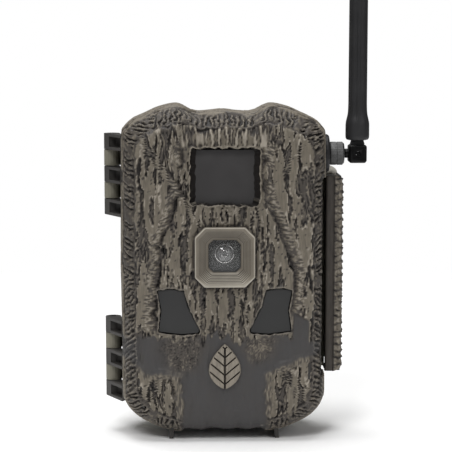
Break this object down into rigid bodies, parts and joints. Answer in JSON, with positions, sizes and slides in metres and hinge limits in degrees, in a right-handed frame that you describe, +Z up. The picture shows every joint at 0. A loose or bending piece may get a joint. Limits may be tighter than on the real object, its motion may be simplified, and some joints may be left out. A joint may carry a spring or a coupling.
{
  "type": "trail camera",
  "caption": "Hinged weatherproof wildlife camera with bark-textured cover, infrared window, side latch and a swivel antenna.",
  "frame": {"origin": "centre of the flat mounting face on the back, half way up the housing", "axes": "+Z up, the lens looks along -Y, +X towards the antenna side"},
  "size_m": [0.1359, 0.0736, 0.3155],
  "materials": {
    "tan_plastic": "moulded olive tan, fine texture",
    "bark_plastic": "moulded bark relief, camouflage print",
    "black_plastic": "satin black",
    "smoked_plastic": "smooth smoked",
    "black_rubber": "matt",
    "silicone": "matt seal",
    "steel": "bright",
    "brass": "machined",
    "board_green": "solder mask over glass fibre",
    "clear_glass": "clear, polished",
    "filter_glass": "coated",
    "cell_wrap": "plain metallic wrap",
    "antenna_plastic": "satin black, long facets",
    "elbow_plastic": "gloss black",
    "nut_metal": "black-plated, fine straight knurl",
    "card_plastic": "plain, unlabelled"
  },
  "bodies": {
    "rear": {"rear_case": "tan_plastic", "case_gasket": "silicone", "hinge_pin_upper": "steel", "hinge_pin_lower": "steel", "latch_pin": "steel", "tripod_insert": "brass", "dc_jack": "black_plastic", "battery_tray": "black_plastic", "battery_cell_1": "cell_wrap", "battery_cell_2": "cell_wrap", "battery_cell_3": "cell_wrap", "battery_cell_4": "cell_wrap", "battery_cell_5": "cell_wrap", "battery_cell_6": "cell_wrap", "battery_cell_7": "cell_wrap", "battery_cell_8": "cell_wrap", "contact_strip_top": "steel", "contact_strip_bottom": "steel", "power_contact_pads": "steel"},
    "cover": {"front_cover": "bark_plastic", "leaf_badge": "tan_plastic", "ir_window": "smoked_plastic", "ir_led_board": "board_green", "ir_led_array": "black_plastic", "lens_bezel": "tan_plastic", "lens_window": "clear_glass", "lens_element": "clear_glass", "lens_barrel": "black_plastic", "sensor_holder": "black_plastic", "image_sensor": "smoked_plastic", "pir_window_left": "smoked_plastic", "pir_window_right": "smoked_plastic", "pir_sensor_left": "steel", "pir_sensor_right": "steel", "main_board": "board_green", "cell_modem": "steel", "sd_socket": "steel", "control_panel": "black_plastic", "panel_screw_1": "steel", "panel_screw_2": "steel", "panel_screw_3": "steel", "panel_screw_4": "steel", "lcd_screen": "smoked_plastic", "antenna_socket": "black_plastic", "antenna_cable": "black_plastic", "power_contact_block": "black_plastic"},
    "latch": {"latch_lever": "bark_plastic"},
    "port_flap": {"dc_port_flap": "black_rubber"},
    "antenna_nut": {"antenna_nut": "nut_metal"},
    "antenna_elbow": {"antenna_elbow": "elbow_plastic", "antenna_pivot_pin": "steel"},
    "antenna_whip": {"antenna_whip": "antenna_plastic"},
    "key_up": {"key_up": "black_rubber"},
    "key_down": {"key_down": "black_rubber"},
    "key_left": {"key_left": "black_rubber"},
    "key_right": {"key_right": "black_rubber"},
    "key_ok": {"key_ok": "black_rubber"},
    "power_switch": {"power_switch": "black_plastic"},
    "sd_card": {"sd_card": "card_plastic"},
    "ir_cut_filter": {"ir_cut_filter": "filter_glass"}
  },
  "joints": [
    {"name": "cover_hinge", "type": "hinge", "parent": "rear", "child": "cover", "pos_m": [-0.0572, -0.036, 0], "axis": [0, 0, -1], "range_deg": [0, 115]},
    {"name": "latch_pivot", "type": "hinge", "parent": "rear", "child": "latch", "pos_m": [0.0565, -0.0315, 0], "axis": [0, 0, 1], "range_deg": [0, 100]},
    {"name": "port_flap_hinge", "type": "hinge", "parent": "rear", "child": "port_flap", "pos_m": [0.015, -0.0172, -0.0842], "axis": [1, 0, 0], "range_deg": [0, 120]},
    {"name": "antenna_nut_spin", "type": "hinge", "parent": "cover", "child": "antenna_nut", "pos_m": [0.058, -0.049, 0.0595], "axis": [1, 0, 0], "continuous": true},
    {"name": "antenna_swivel", "type": "hinge", "parent": "cover", "child": "antenna_elbow", "pos_m": [0.0686, -0.049, 0.0595], "axis": [1, 0, 0], "continuous": true},
    {"name": "antenna_tilt", "type": "hinge", "parent": "antenna_elbow", "child": "antenna_whip", "pos_m": [0.0686, -0.049, 0.0595], "axis": [0, 1, 0], "range_deg": [0, 90]},
    {"name": "key_up_press", "type": "slide", "parent": "cover", "child": "key_up", "axis": [0, -1, 0], "range_m": [0, 0.0006], "stiffness_N_per_m": 1500},
    {"name": "key_down_press", "type": "slide", "parent": "cover", "child": "key_down", "axis": [0, -1, 0], "range_m": [0, 0.0006], "stiffness_N_per_m": 1500},
    {"name": "key_left_press", "type": "slide", "parent": "cover", "child": "key_left", "axis": [0, -1, 0], "range_m": [0, 0.0006], "stiffness_N_per_m": 1500},
    {"name": "key_right_press", "type": "slide", "parent": "cover", "child": "key_right", "axis": [0, -1, 0], "range_m": [0, 0.0006], "stiffness_N_per_m": 1500},
    {"name": "key_ok_press", "type": "slide", "parent": "cover", "child": "key_ok", "axis": [0, -1, 0], "range_m": [0, 0.0006], "stiffness_N_per_m": 1500},
    {"name": "power_switch_slide", "type": "slide", "parent": "cover", "child": "power_switch", "axis": [1, 0, 0], "range_m": [0, 0.008]},
    {"name": "sd_card_slide", "type": "slide", "parent": "cover", "child": "sd_card", "axis": [0, 0, -1], "range_m": [0, 0.018]},
    {"name": "ir_cut_filter_slide", "type": "slide", "parent": "cover", "child": "ir_cut_filter", "axis": [1, 0, 0], "range_m": [0, 0.0075]}
  ]
}
